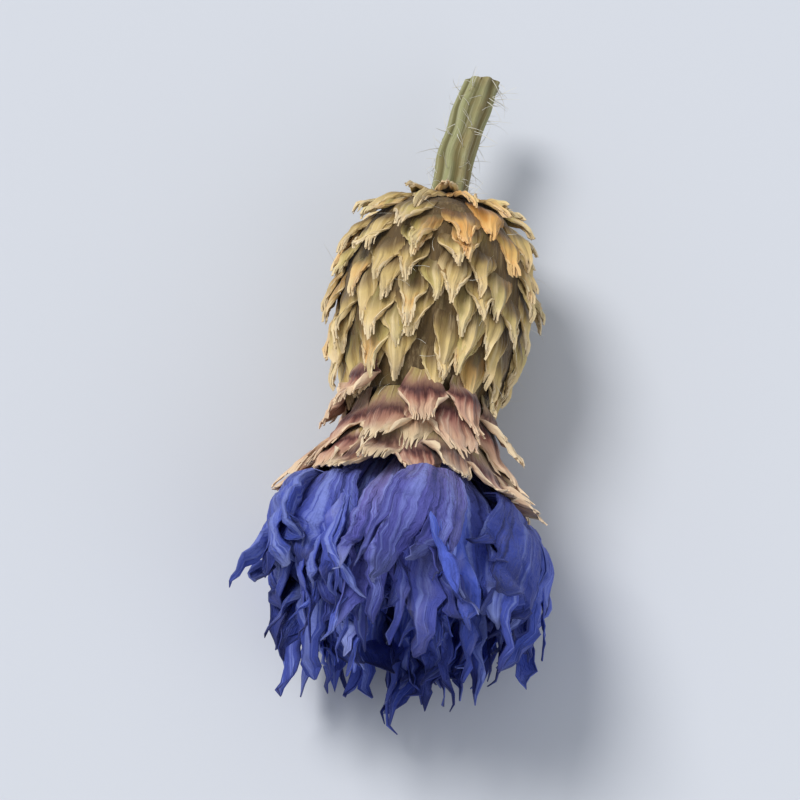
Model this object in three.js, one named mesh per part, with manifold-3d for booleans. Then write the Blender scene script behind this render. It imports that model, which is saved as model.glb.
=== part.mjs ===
// A dried cornflower head on a short stem, lying on its side. Millimetres, +Z up.
// The florets point towards -Y and the stem towards +Y. The head is built upright first, with its axis
// along +Z and the cup's base at z = 0, and the group then lays it down.
import * as THREE from 'three';
import { mergeVertices } from 'three/addons/utils/BufferGeometryUtils.js';
import Module from 'manifold-3d';

const wasm = await Module();
wasm.setup();

// Lying pose
const AXIS_HEIGHT = 4.2; // height of the head's axis above the surface, at the widest part of the cup
const AXIS_TILT = THREE.MathUtils.degToRad(4); // the florets lie higher than the stem
const WIDEST_Z = 4.6;
const LAY_DOWN = Math.PI / 2 - AXIS_TILT;
const BASE_HEIGHT = AXIS_HEIGHT - WIDEST_Z * Math.sin(AXIS_TILT);
const FLOOR_MARGIN = 0.2; // least height of a floret's middle surface

// Profiles are lists of [height, radius]. The cup is the solid core under the outer bracts, and its
// rim is where their last tips stand round the neck
const CUP_PROFILE = [
  [0.0, 1.9], [0.9, 3.1], [2.4, 3.8], [WIDEST_Z, 4.05], [6.6, 3.75], [8.2, 3.15], [9.3, 2.6],
];
const CUP_TOP = 9.3;
const RIM_PROFILE = [[10.0, 2.95], [11.4, 4.05]];
const OUTER_BRACTS = 56;
const FIRST_BRACT_Z = 0.4;
const LAST_BRACT_Z = 8.4;
const STEM_SOCKET_RADIUS = 1.25;
const STEM_SOCKET_DEPTH = 0.6;

// Inner papery bracts
const INNER_BRACTS = 18;
const INNER_BRACT_LENGTH = 4.3;
const INNER_BRACT_WIDTH = 2.2;
const INNER_SEAT_RADIUS = 1.95;

// Florets
const RAY_FLORETS = 36;
const DISC_FLORETS = 11;
const RAY_LOBES = 4;
const RAY_LENGTH = 11;
const RAY_SEAT_RADIUS = 1.35;
const DISC_SIDES = 6;

// Stem
const STEM_RADIUS = 0.85;
const STEM_LENGTH = 6.0;
const STEM_SWAY = 0.9;
const STEM_RIBS = 7;
const STEM_GROOVE = 0.86; // radius in the grooves, as a share of that on the ribs

const GAP = 0.3;
const BLADE = 0.62;
const SEAT_DEPTH = 0.8;
const INNER_BASE = CUP_TOP + GAP;
const RAY_BASE = INNER_BASE + SEAT_DEPTH + GAP;

// The mouth is a cone that parts the inner bracts from the ray florets, and a narrow cone parts these
// from the disc florets. A blade's middle surface keeps this far from either
const MOUTH_RADIUS = 1.6;
const MOUTH_FLARE = 0.8;
const MOUTH_TOP = 14;
const DISC_RADIUS = 0.65;
const DISC_FLARE = 0.13;
const DISC_TOP = 18;
const CLEAR = GAP / 2 + BLADE / 2 + 0.14;
const ROUND_SIDES = 24;
const GOLDEN_ANGLE = Math.PI * (3 - Math.sqrt(5));

// A repeatable draw between -1 and 1
function draw(index, seed) {
  const value = Math.sin(index * 12.9898 + seed * 78.233) * 43758.5453;
  return 2 * (value - Math.floor(value)) - 1;
}

function mix(a, b, share) {
  return a + (b - a) * share;
}

// Height of the head's axis above the surface, at a height z on the upright head
function axisHeight(z) {
  return BASE_HEIGHT + z * Math.sin(AXIS_TILT);
}

// Solids from geometries and back
function solidOf(geometry) {
  const bare = geometry.clone();
  bare.deleteAttribute('normal');
  bare.deleteAttribute('uv');
  const merged = mergeVertices(bare, 1e-5);
  return new wasm.Manifold(new wasm.Mesh({
    numProp: 3,
    vertProperties: new Float32Array(merged.attributes.position.array),
    triVerts: new Uint32Array(merged.index.array),
  }));
}

function fuse(solids) {
  return solids.reduce((whole, next) => whole.add(next));
}

// The largest body alone: loose scraps are dropped and sealed hollows are filled
function largestBody(solid) {
  return solid.decompose().reduce((best, next) => (next.volume() > best.volume() ? next : best));
}

function geometryOf(solid) {
  const mesh = solid.getMesh();
  const geometry = new THREE.BufferGeometry();
  geometry.setAttribute('position', new THREE.BufferAttribute(mesh.vertProperties, 3));
  geometry.setIndex(new THREE.BufferAttribute(mesh.triVerts, 1));
  geometry.computeVertexNormals();
  return geometry;
}

// A thin sheet, given by its middle surface, made a closed solid blade of even thickness
function bladeOf(points, faces, thickness) {
  const normals = points.map(() => new THREE.Vector3());
  for (const [a, b, c] of faces) {
    const across = points[b].clone().sub(points[a]);
    const normal = across.cross(points[c].clone().sub(points[a]));
    for (const corner of [a, b, c]) {
      normals[corner].add(normal);
    }
  }
  const front = points.map((p, i) => p.clone().addScaledVector(normals[i].normalize(), thickness / 2));
  const back = points.map((p, i) => p.clone().addScaledVector(normals[i], -thickness / 2));
  const edges = new Set(faces.flatMap(([a, b, c]) => [`${a} ${b}`, `${b} ${c}`, `${c} ${a}`]));
  const index = [];
  const n = points.length;
  for (const [a, b, c] of faces) {
    index.push(a, b, c);
    index.push(c + n, b + n, a + n);
    for (const [from, to] of [[a, b], [b, c], [c, a]]) {
      if (!edges.has(`${to} ${from}`)) {
        index.push(to, from, from + n);
        index.push(to, from + n, to + n);
      }
    }
  }
  const geometry = new THREE.BufferGeometry().setFromPoints([...front, ...back]);
  geometry.setIndex(index);
  return geometry;
}

// A solid of revolution about the head's axis, from [height, radius] pairs that are closed on the axis
function turned(profile, sides = ROUND_SIDES) {
  const points = profile.map(([z, radius]) => new THREE.Vector2(radius, z));
  return new THREE.LatheGeometry(points, sides).rotateX(Math.PI / 2);
}

// The surface that the head lies on, as a block in the upright head's frame
function floorBlock() {
  const side = 80;
  const block = new THREE.BoxGeometry(side, side, side).translate(0, 0, -side / 2 - BASE_HEIGHT);
  return solidOf(block.rotateX(-LAY_DOWN));
}

// Radius of a profile at a height
function radiusAt(profile, z) {
  const next = profile.findIndex(([height]) => z <= height);
  if (next === 0) {
    return profile[0][1];
  }
  if (next < 0) {
    return profile[profile.length - 1][1];
  }
  const [z0, r0] = profile[next - 1];
  const [z1, r1] = profile[next];
  return mix(r0, r1, (z - z0) / (z1 - z0));
}

// A disc about the head's axis
function disc(radius, low, high) {
  return solidOf(turned([[low, 0], [low, radius], [high, radius], [high, 0]]));
}

function mouthRadius(z) {
  return MOUTH_RADIUS + MOUTH_FLARE * (z - RAY_BASE);
}

function discRadius(z) {
  return DISC_RADIUS + DISC_FLARE * (z - RAY_BASE);
}

// One outer bract: a keeled, pointed scale that lies on the cup and lifts at its tip
function outerBract(index) {
  const share = index / (OUTER_BRACTS - 1);
  const angle = index * GOLDEN_ANGLE + 0.12 * draw(index, 1);
  const z = mix(FIRST_BRACT_Z, LAST_BRACT_Z, share ** 0.92);
  const length = mix(2.5, 3.4, share) * (1 + 0.08 * draw(index, 2));
  const width = mix(2.2, 1.9, share) * (1 + 0.08 * draw(index, 3));
  const lift = 0.42 + 0.14 * draw(index, 4);
  // rows of [share of the length, share of half the width, height over the core]
  const outline = [
    [0.0, -0.7, -0.28], [0.0, 0.0, -0.05], [0.0, 0.7, -0.28],
    [0.5, -1.0, -0.2], [0.5, 0.0, 0.16], [0.5, 1.0, -0.2],
    [1.0, 0.1 * draw(index, 5), lift],
  ];
  const points = outline.map(([along, across, above]) => {
    const height = z + along * length;
    const under = radiusAt([...CUP_PROFILE, ...RIM_PROFILE], height);
    const radius = under + above;
    const turn = angle + (across * width) / 2 / Math.max(under, 2);
    return new THREE.Vector3(radius * Math.cos(turn), radius * Math.sin(turn), height);
  });
  const faces = [[0, 1, 4], [0, 4, 3], [1, 2, 5], [1, 5, 4], [3, 4, 6], [4, 5, 6]];
  return solidOf(bladeOf(points, faces, BLADE));
}

function makeOuterBracts() {
  const core = solidOf(turned([[0, 0], ...CUP_PROFILE, [CUP_TOP, 0]]));
  const scales = Array.from({ length: OUTER_BRACTS }, (_, index) => outerBract(index));
  const socket = disc(STEM_SOCKET_RADIUS, -2, STEM_SOCKET_DEPTH);
  return fuse([core, ...scales]).subtract(socket);
}

// One inner bract: a papery blade with a three-pointed tip that flares out round the florets
function innerBract(index) {
  const whorl = index % 2;
  const angle = (index * 2 * Math.PI) / INNER_BRACTS + 0.09 * draw(index, 11);
  const length = (INNER_BRACT_LENGTH - 0.7 * whorl) * (1 + 0.1 * draw(index, 12));
  const width = INNER_BRACT_WIDTH * (1 + 0.14 * draw(index, 13));
  const step = 0.25 * whorl;
  const flare = 0.2 + 0.2 * draw(index, 14);
  const outline = [
    [0.0, -0.62], [0.0, 0.0], [0.0, 0.62],
    [0.45, -0.8], [0.45, 0.0], [0.45, 0.8],
    [0.8, -1.05], [0.72, -0.5], [0.74, 0.0], [0.72, 0.5], [0.8, 1.05],
    [1.02, 0.12 * draw(index, 15)],
  ];
  const faces = [
    [0, 1, 4], [0, 4, 3], [1, 2, 5], [1, 5, 4],
    [3, 7, 6], [3, 4, 7], [4, 8, 7], [4, 9, 8], [4, 5, 9], [5, 10, 9],
    [7, 8, 11], [8, 9, 11],
  ];
  const points = outline.map(([along, across]) => {
    const height = INNER_BASE + 0.3 + along * length;
    const radius = mouthRadius(height) + CLEAR + step + flare * along ** 2;
    const turn = angle + (across * width) / 2 / Math.max(radius, 1.9);
    return new THREE.Vector3(radius * Math.cos(turn), radius * Math.sin(turn), height);
  });
  return solidOf(bladeOf(points, faces, BLADE));
}

function makeInnerBracts() {
  const seat = disc(INNER_SEAT_RADIUS, INNER_BASE, INNER_BASE + SEAT_DEPTH);
  const blades = Array.from({ length: INNER_BRACTS }, (_, index) => innerBract(index));
  return fuse([seat, ...blades]);
}

// Middle line of a ray floret as four control points, and its size and turn
function rayFloret(index) {
  const share = index / (RAY_FLORETS - 1);
  const angle = index * GOLDEN_ANGLE + 0.1 * draw(index, 21);
  const spread = share ** 0.62;
  const bend = angle + 0.16 * draw(index, 22);
  const sway = bend + 0.12 * draw(index, 23);
  const reach = 1 + 0.06 * draw(index, 24);
  const path = [
    [angle, DISC_RADIUS + CLEAR, RAY_BASE + 0.35],
    [angle, mix(1.4, 2.6, spread), 12.6],
    [bend, mix(2.2, 6.9, spread) * reach, mix(16.5, 15.3, spread)],
    [sway, mix(2.0, 6.7, spread) * reach, mix(23.2, 20.6, spread ** 2) + 0.8 * draw(index, 25)],
  ].map(([turn, radius, z]) => keepOffFloor(radius * Math.cos(turn), radius * Math.sin(turn), z));
  return {
    curve: new THREE.CubicBezierCurve3(...path),
    halfArc: mix(0.95, 1.12, spread) + 0.14 * draw(index, 26),
    opening: mix(1.15, 1.7, spread) * (1 + 0.1 * draw(index, 27)),
    roll: 0.42 * draw(index, 28),
    curl: mix(0.1, 0.5, spread) * draw(index, 29),
  };
}

// A point of a floret that would lie below the surface is pushed up to it and out to its side
function keepOffFloor(x, y, z) {
  const lowest = FLOOR_MARGIN - axisHeight(z);
  const excess = Math.max(0, lowest - y);
  return new THREE.Vector3(x * (1 + 0.12 * excess), y + excess, z);
}

// A ray floret: a trumpet's outer wall, narrow at its tube, widening to a mouth with pointed lobes
function rayBlade(index) {
  const { curve, halfArc, opening, roll, curl } = rayFloret(index);
  const rows = [
    { t: 0.0, radius: 0.8, arc: 0.62, steps: 2 },
    { t: 0.3, radius: 0.85, arc: 0.68, steps: 2 },
    { t: 0.56, radius: mix(0.85, opening, 0.55), arc: halfArc * 0.85, steps: 2 },
    { t: 0.78, radius: opening, arc: halfArc, steps: RAY_LOBES },
  ];
  const points = [];
  for (const { t, radius, arc, steps } of rows) {
    for (let i = 0; i <= steps; i += 1) {
      points.push(onTrumpet(curve, t, radius, arc * ((2 * i) / steps - 1) + roll * t, 0));
    }
  }
  for (let lobe = 0; lobe < RAY_LOBES; lobe += 1) {
    const arc = halfArc * 1.08 * ((2 * lobe + 1) / RAY_LOBES - 1);
    const t = 0.97 + 0.05 * draw(index * RAY_LOBES + lobe, 30);
    points.push(onTrumpet(curve, t, opening * 1.06, arc + roll * t, curl));
  }
  const faces = [];
  for (const row of [0, 3]) {
    faces.push([row, row + 1, row + 4], [row, row + 4, row + 3]);
    faces.push([row + 1, row + 2, row + 5], [row + 1, row + 5, row + 4]);
  }
  const [left, middle, right] = [6, 7, 8];
  const notch = 9;
  const half = RAY_LOBES / 2;
  for (let i = 0; i < half; i += 1) {
    faces.push([left, notch + i + 1, notch + i]);
    faces.push([right, notch + half + i + 1, notch + half + i]);
  }
  faces.push([left, middle, notch + half], [middle, right, notch + half]);
  const tip = notch + RAY_LOBES + 1;
  for (let lobe = 0; lobe < RAY_LOBES; lobe += 1) {
    faces.push([notch + lobe, notch + lobe + 1, tip + lobe]);
  }
  return solidOf(bladeOf(points, faces, BLADE));
}

// A point on a trumpet's wall: turn 0 is its outer side, away from the head's axis
function onTrumpet(curve, t, radius, turn, curl) {
  const share = Math.min(t, 1);
  const place = curve.getPoint(share);
  const along = curve.getTangent(share);
  const outward = new THREE.Vector3(place.x, place.y, 0);
  outward.addScaledVector(along, -outward.dot(along)).normalize();
  const side = new THREE.Vector3().crossVectors(along, outward);
  place.addScaledVector(along, (t - share) * RAY_LENGTH);
  place.addScaledVector(outward, radius * (Math.cos(turn) - 1) + curl);
  place.addScaledVector(side, -radius * Math.sin(turn));
  return keepInMouth(place);
}

// A point of a ray floret, moved in or out so that it clears the inner bracts and the disc florets
function keepInMouth(place) {
  const radius = Math.hypot(place.x, place.y);
  const least = place.z < DISC_TOP ? discRadius(place.z) + CLEAR : 0;
  const most = place.z < MOUTH_TOP ? mouthRadius(place.z) - CLEAR : Infinity;
  const wanted = Math.min(Math.max(radius, least), most);
  place.x *= wanted / radius;
  place.y *= wanted / radius;
  return place;
}

function makeRayFlorets(floor) {
  const blades = Array.from({ length: RAY_FLORETS }, (_, index) => rayBlade(index));
  const seat = disc(RAY_SEAT_RADIUS, RAY_BASE, RAY_BASE + SEAT_DEPTH)
    .subtract(disc(DISC_RADIUS + GAP / 2, RAY_BASE - 1, RAY_BASE + 2));
  return fuse([seat, ...blades]).subtract(floor);
}

// A disc floret: a small tube, swollen above its middle, with a pointed mouth and an anther column
function discFloret(index) {
  const share = Math.sqrt((index + 0.4) / DISC_FLORETS);
  const angle = index * GOLDEN_ANGLE;
  const height = mix(17.9, 16.9, share) + 0.5 * draw(index, 41);
  const low = RAY_BASE + 0.5;
  const mouth = height - 1.6;
  const profile = [
    [low, 0], [low, 0.3], [mouth - 1.3, 0.3], [mouth, 0.46], [mouth - 0.2, 0.22], [height, 0.18], [height, 0],
  ];
  const geometry = turned(profile, DISC_SIDES);
  const position = geometry.attributes.position;
  const place = new THREE.Vector3();
  for (let i = 0; i < position.count; i += 1) {
    place.fromBufferAttribute(position, i);
    const up = Math.max(0, (place.z - low) / (height - low));
    const lean = mix(0.22, 0.95, up) * share;
    place.x += lean * Math.cos(angle + 0.15 * up);
    place.y += lean * Math.sin(angle + 0.15 * up);
    position.setXYZ(i, place.x, place.y, place.z);
  }
  return solidOf(geometry);
}

function makeDiscFlorets() {
  const plug = disc(DISC_RADIUS - GAP / 2, RAY_BASE, RAY_BASE + 1.2);
  const tubes = Array.from({ length: DISC_FLORETS }, (_, index) => discFloret(index));
  return fuse([plug, ...tubes]);
}

// Stem: a ribbed rod that bends a little, with its top in the cup's socket
function makeStem() {
  const top = STEM_SOCKET_DEPTH - GAP;
  const section = Array.from({ length: 2 * STEM_RIBS }, (_, i) => {
    const radius = STEM_RADIUS * (i % 2 ? STEM_GROOVE : 1);
    const turn = (i * Math.PI) / STEM_RIBS;
    return new THREE.Vector2(radius * Math.cos(turn), radius * Math.sin(turn));
  });
  const path = new THREE.CatmullRomCurve3([
    new THREE.Vector3(0, 0, top),
    new THREE.Vector3(0, 0, -1.0),
    new THREE.Vector3(0.25 * STEM_SWAY, 0.1, -STEM_LENGTH * 0.55),
    new THREE.Vector3(STEM_SWAY, 0.35, -STEM_LENGTH),
  ]);
  return solidOf(new THREE.ExtrudeGeometry(new THREE.Shape(section), { steps: 8, extrudePath: path }));
}

const FINISHES = {
  stem: { color: 0x8f9468, roughness: 0.85 },
  outer_bracts: { color: 0xc9ab62, roughness: 0.7 },
  inner_bracts: { color: 0xb98a6c, roughness: 0.75 },
  ray_florets: { color: 0x2f3fb4, roughness: 0.8 },
  disc_florets: { color: 0x5a3d86, roughness: 0.8 },
};

function meshOf(name, solid) {
  const material = new THREE.MeshStandardMaterial({ ...FINISHES[name], metalness: 0, flatShading: true });
  const mesh = new THREE.Mesh(geometryOf(largestBody(solid)), material);
  mesh.name = name;
  return mesh;
}

const floor = floorBlock();
const head = new THREE.Group();
head.add(meshOf('stem', makeStem()));
head.add(meshOf('outer_bracts', makeOuterBracts().subtract(floor)));
head.add(meshOf('inner_bracts', makeInnerBracts().subtract(floor)));
head.add(meshOf('ray_florets', makeRayFlorets(floor)));
head.add(meshOf('disc_florets', makeDiscFlorets()));
head.rotation.x = LAY_DOWN;
head.position.z = BASE_HEIGHT;

// The origin is the middle of the box that the part fills, on the surface
const group = new THREE.Group();
group.add(head);
group.updateMatrixWorld(true);
const box = new THREE.Box3().setFromObject(group, true);
group.position.set(-(box.min.x + box.max.x) / 2, -(box.min.y + box.max.y) / 2, 0);

export default group;
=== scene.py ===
"""Looks of a dried cornflower head on a short stem, lying on its side.

Lengths are in millimetres on the upright head, whose axis is +Z and whose cup starts at z = 0.
lay_down() turns each finished mesh to the lying pose and to metres, where the solid frame has it.
Only the floor, the lights and the camera are in metres from the start.
"""

import math

import bmesh
import bpy
import numpy as np
from mathutils import Matrix, Vector, noise


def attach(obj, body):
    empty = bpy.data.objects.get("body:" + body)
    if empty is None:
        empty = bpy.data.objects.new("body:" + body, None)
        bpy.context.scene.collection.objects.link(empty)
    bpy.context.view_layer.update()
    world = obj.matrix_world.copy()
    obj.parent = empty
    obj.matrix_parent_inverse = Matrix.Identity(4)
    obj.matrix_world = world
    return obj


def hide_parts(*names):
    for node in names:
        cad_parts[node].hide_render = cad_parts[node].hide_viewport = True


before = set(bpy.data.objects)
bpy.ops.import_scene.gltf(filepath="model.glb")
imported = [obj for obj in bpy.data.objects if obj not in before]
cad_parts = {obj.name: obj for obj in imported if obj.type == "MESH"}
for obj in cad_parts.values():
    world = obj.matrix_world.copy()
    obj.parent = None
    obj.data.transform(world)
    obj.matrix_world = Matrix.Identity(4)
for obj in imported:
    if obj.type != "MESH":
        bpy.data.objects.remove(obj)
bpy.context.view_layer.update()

CRUMPLE_SEED = 3
noise.seed_set(CRUMPLE_SEED)

MM = 0.001
GOLDEN_ANGLE = math.pi * (3 - math.sqrt(5))

# Lying pose, as the solids have it
AXIS_HEIGHT = 4.2
AXIS_TILT = math.radians(4)
WIDEST_Z = 4.6
LAY_DOWN = math.pi / 2 - AXIS_TILT
BASE_HEIGHT = AXIS_HEIGHT - WIDEST_Z * math.sin(AXIS_TILT)
STEM_TOP = 0.3
PRESS_DEPTH = 0.5  # what would lie lower than this is pressed together above the floor

# Cup beneath the scales, as [height, radius]
CUP = np.array([[-0.3, 0.9], [0.0, 1.9], [0.9, 3.1], [2.4, 3.8], [WIDEST_Z, 4.05], [6.6, 3.75], [8.2, 3.15],
                [9.3, 2.65], [10.2, 2.6], [12.0, 3.2]])
CUP_TOP = 9.3

# Gaps and seats between the solids' nodes
GAP = 0.3
BLADE = 0.62
SEAT_DEPTH = 0.8
CLEAR = GAP / 2 + BLADE / 2 + 0.14
INNER_BASE = CUP_TOP + GAP
RAY_BASE = INNER_BASE + SEAT_DEPTH + GAP

# Ray florets stay inside the ring of inner bracts and outside the disc florets
MOUTH_RADIUS = 1.6
MOUTH_FLARE = 0.68
MOUTH_MARGIN = 0.4
MOUTH_TOP = 14
DISC_RADIUS = 0.65
DISC_FLARE = 0.13
DISC_TOP = 18

STEM_RADIUS = 0.85
STEM_LENGTH = 6.0
STEM_SWAY = 0.9, 0.35  # how far the stem's end leans to the side and up
STEM_RIBS = 7


# Numbers

def draw(index, seed):
    """A repeatable draw between -1 and 1, the same one that places the solids' florets and bracts.

    Each use has a seed of its own, so that a piece's angle, length and shade don't go together.
    """
    value = math.sin(index * 12.9898 + seed * 78.233) * 43758.5453
    return 2 * (value - math.floor(value)) - 1


def draw_between(low, high, index, seed):
    """A repeatable draw between low and high."""
    return mix(low, high, (draw(index, seed) + 1) / 2)


def mix(a, b, share):
    return a + (b - a) * share


def ramp(x, low, high):
    """0 below low, 1 above high and a smooth rise between."""
    share = np.clip((x - low) / (high - low), 0, 1)
    return share * share * (3 - 2 * share)


def noise_shift(seed, steps):
    """A far place in the noise for each seed, so that no two pieces crumple alike."""
    return Vector([seed * step for step in steps])


def crumple(places, frequency, amount, seed):
    """Places moved by smooth noise. amount is one number, or one for each place."""
    shift = noise_shift(seed, (7.31, 3.17, 5.03))
    moved = [noise.noise_vector(Vector(p) * frequency + shift) for p in places]
    return places + np.array([tuple(v) for v in moved]) * np.reshape(amount, (-1, 1))


def creases(places, ways, frequency, amount, seed):
    """Places pushed along ways, least at sharp valley lines, as in crushed paper."""
    shift = noise_shift(seed, (4.13, 2.71, 6.07))
    depth = [abs(noise.noise(Vector(p) * frequency + shift)) for p in places]
    return places + ways * (np.minimum(np.array(depth) * 3, 1) * amount)[:, None]


def around_axis(radius, turn, z):
    """Places at a radius, a turn and a height round the head's axis."""
    return np.stack([radius * np.cos(turn), radius * np.sin(turn), z + 0 * radius], axis=-1)


def level_way(turn):
    """The direction out from the head's axis at a turn round it."""
    return Vector((math.cos(turn), math.sin(turn), 0))


# The lying pose in the solid frame

def head_place():
    """Where the upright head's origin lies: the middle of the stem's top face is on the head's axis."""
    turn = Matrix.Rotation(LAY_DOWN, 3, "X")
    upright = [turn.transposed() @ v.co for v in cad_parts["stem"].data.vertices]
    top = max(v.z for v in upright)
    hairline = 0.01 * MM
    face = [v for v in upright if v.z > top - hairline]
    middle = sum(face, Vector()) / len(face)
    return turn @ (middle - Vector((0, 0, STEM_TOP * MM)))


HEAD_PLACE = head_place()


def lie(places):
    """Places on the upright head, in millimetres, as places on the lying head in metres."""
    turn = np.array(Matrix.Rotation(LAY_DOWN, 3, "X"))
    lying = places @ turn.T * MM + np.array(HEAD_PLACE)
    depth = PRESS_DEPTH * MM
    height = lying[:, 2]
    pressed = depth * np.exp((np.minimum(height, depth) - depth) / depth)
    lying[:, 2] = np.where(height < depth, pressed, height)
    return lying


def lay_down(piece):
    mesh = piece.data
    places = np.empty(len(mesh.vertices) * 3)
    mesh.vertices.foreach_get("co", places)
    mesh.vertices.foreach_set("co", lie(places.reshape(-1, 3)).ravel())
    mesh.update()


# Modelling

CRISP_ANGLE = math.radians(48)
NEAR = 1e-4  # places on a flat grid that are closer than this are the same
PATTERN_STEP = 3.7  # sets the colour patterns of flat copies apart
TUBE_PATTERN_STEP = 7


def deselect():
    bpy.ops.object.select_all(action="DESELECT")


def only(piece):
    """Leaves the piece active and nothing else selected."""
    deselect()
    piece.select_set(True)
    bpy.context.view_layer.objects.active = piece


def slit_grid(lobes, columns, rows, notch):
    """A flat grid from -1 to 1, slit into lobes above the share of its height that notch gives."""
    deselect()
    bpy.ops.mesh.primitive_grid_add(
        x_subdivisions=lobes * columns, y_subdivisions=rows, size=2, location=(0, 0, 0))
    piece = bpy.context.object
    bpy.ops.object.mode_set(mode="EDIT")
    bpy.ops.mesh.select_mode(type="EDGE")
    bpy.ops.mesh.select_all(action="DESELECT")
    grid = bmesh.from_edit_mesh(piece.data)
    slits = [mix(-1, 1, i / lobes) for i in range(1, lobes)]
    for edge in grid.edges:
        a, b = edge.verts[0].co, edge.verts[1].co
        on_slit = abs(a.x - b.x) < NEAR and min(abs(a.x - x) for x in slits) < NEAR
        edge.select = on_slit and (min(a.y, b.y) + 1) / 2 > notch - NEAR
    bmesh.update_edit_mesh(piece.data)
    bpy.ops.mesh.edge_split(type="EDGE")
    bpy.ops.object.mode_set(mode="OBJECT")
    return piece


class Sheet:
    """A flat pattern that is modelled once and wrapped on each copy's own shape.

    It is a grid, along from 0 to 1 and across from -1 to 1. Past the notch it is slit into lobes.
    ridge is 1 on the middle line of each lobe and 0 in the valleys between them.
    """

    def __init__(self, lobes, columns, rows, notch, plain=(0.5, 0.5)):
        """columns are those of one lobe. notch is a share of the length.

        plain gives the share of the rows that the sheet's lower part takes, and its share of the length,
        so that rows can lie closer where the sheet bends most.
        """
        row_shares, length_shares = [0, plain[0], 1], [0, plain[1], 1]
        notch_row = round(np.interp(notch, length_shares, row_shares) * rows) / rows
        piece = slit_grid(lobes, columns, rows, notch_row)
        mesh = piece.data
        flat = np.array([tuple(v.co) for v in mesh.vertices])
        self.lobes = lobes
        self.faces = [list(p.vertices) for p in mesh.polygons]
        self.along = np.interp((flat[:, 1] + 1) / 2, row_shares, length_shares)
        self.across = flat[:, 0]
        self.lobe = self.lobe_numbers()
        self.middle = mix(-1, 1, (self.lobe + 0.5) / lobes)
        self.in_lobe = (self.across - self.middle) * lobes
        self.ridge = np.cos(self.in_lobe * math.pi / 2)
        notch_along = np.interp(notch_row, row_shares, length_shares)
        self.past = np.clip((self.along - notch_along) / (1 - notch_along), 0, 1)
        bpy.data.objects.remove(piece)

    def lobe_numbers(self):
        """Each corner's lobe, from the middles of its faces. Corners below the slits share their faces."""
        total = np.zeros(len(self.along))
        count = np.zeros(len(self.along))
        for face in self.faces:
            total[face] += self.across[face].mean()
            count[face] += 1
        lobe = np.floor((total / count + 1) / 2 * self.lobes + 1e-6)
        return np.clip(lobe, 0, self.lobes - 1).astype(int)

    def lobe_draws(self, index, seed):
        """A draw for each lobe of one copy. No sheet has as many as 31 lobes."""
        draws = np.array([draw(index * 31 + lobe, seed) for lobe in range(self.lobes)])
        return draws[self.lobe]

    def toothed(self):
        """Across, with each lobe past the notch narrowed to a tooth."""
        return self.in_lobe * (1 - 0.94 * self.past) / self.lobes + self.middle

    def tube_pattern(self, radius, height, index):
        """Places on the sheet as a straight tube, for its colours, set apart from those of other tubes."""
        ring = self.across * math.pi
        return np.cos(ring) * radius, height, np.sin(ring) * radius + index * TUBE_PATTERN_STEP


class Pile:
    """Wrapped sheets gathered into one piece, with the masks of their colours as attributes.

    own holds places on the unbent sheet, in millimetres and set apart copy by copy, for the patterns.
    """

    def __init__(self):
        self.places = []
        self.faces = []
        self.own = []
        self.masks = {}
        self.count = 0

    def add(self, sheet_faces, places, own, **masks):
        self.faces += [[corner + self.count for corner in face] for face in sheet_faces]
        self.places.append(places)
        self.own.append(np.stack([part + np.zeros(len(places)) for part in own], axis=-1))
        for name, values in masks.items():
            self.masks.setdefault(name, []).append(values + np.zeros(len(places)))
        self.count += len(places)

    def piece(self, name, thickness=0.0, seam=0.0):
        """The piece, with corners merged that are closer than seam, and its sheets given a thickness."""
        mesh = bpy.data.meshes.new(name)
        mesh.from_pydata(np.concatenate(self.places).tolist(), [], self.faces)
        own = mesh.attributes.new("own", "FLOAT_VECTOR", "POINT")
        own.data.foreach_set("vector", np.concatenate(self.own).ravel())
        for mask, values in self.masks.items():
            mesh.attributes.new(mask, "FLOAT", "POINT").data.foreach_set("value", np.concatenate(values))
        piece = bpy.data.objects.new(name, mesh)
        bpy.context.collection.objects.link(piece)
        only(piece)
        bpy.ops.object.mode_set(mode="EDIT")
        bpy.ops.mesh.select_all(action="SELECT")
        if seam:
            bpy.ops.mesh.remove_doubles(threshold=seam)
        bpy.ops.mesh.normals_make_consistent(inside=False)
        bpy.ops.object.mode_set(mode="OBJECT")
        if thickness:
            solidify = piece.modifiers.new("Thickness", "SOLIDIFY")
            solidify.thickness = thickness
            solidify.offset = 0
            bpy.ops.object.modifier_apply(modifier="Thickness")
        bpy.ops.object.shade_smooth_by_angle(angle=CRISP_ANGLE)
        return piece


def finish_piece(piece, slot, material, *nodes):
    """Lays the piece down, dresses it, attaches it to the root body and hides the solids' nodes that it
    stands for.
    """
    lay_down(piece)
    piece.data.materials.clear()
    piece.data.materials.append(material)
    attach(piece, "root")
    if nodes:
        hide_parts(*nodes)


# Shader maths

SPECULAR = 0.3  # dry plants and the board shine little
MIX_FIRST, MIX_SECOND, MIX_RESULT = 6, 7, 2  # a Mix node's colour sockets, whose names it uses more than once


class Value:
    """A shader socket that Python's operators work on, each adding its Math node."""

    def __init__(self, tree, socket):
        self.tree = tree
        self.socket = socket

    def math(self, operation, *others, **settings):
        return Nodes(self.tree).add("ShaderNodeMath", {"operation": operation, **settings}, [self, *others])

    def __add__(self, other):
        return self.math("ADD", other)

    __radd__ = __add__

    def __mul__(self, other):
        return self.math("MULTIPLY", other)

    __rmul__ = __mul__

    def __sub__(self, other):
        return self.math("SUBTRACT", other)

    def __rsub__(self, other):
        return (self * -1) + other

    def clamped(self):
        return self.math("ADD", 0.0, use_clamp=True)

    def over(self, level, slope):
        """A mask from 0 to 1 that rises where the value is over a level."""
        return ((self - level) * slope).clamped()

    def under(self, level, slope):
        """A mask from 0 to 1 that rises where the value is under a level."""
        return ((level - self) * slope).clamped()


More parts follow.
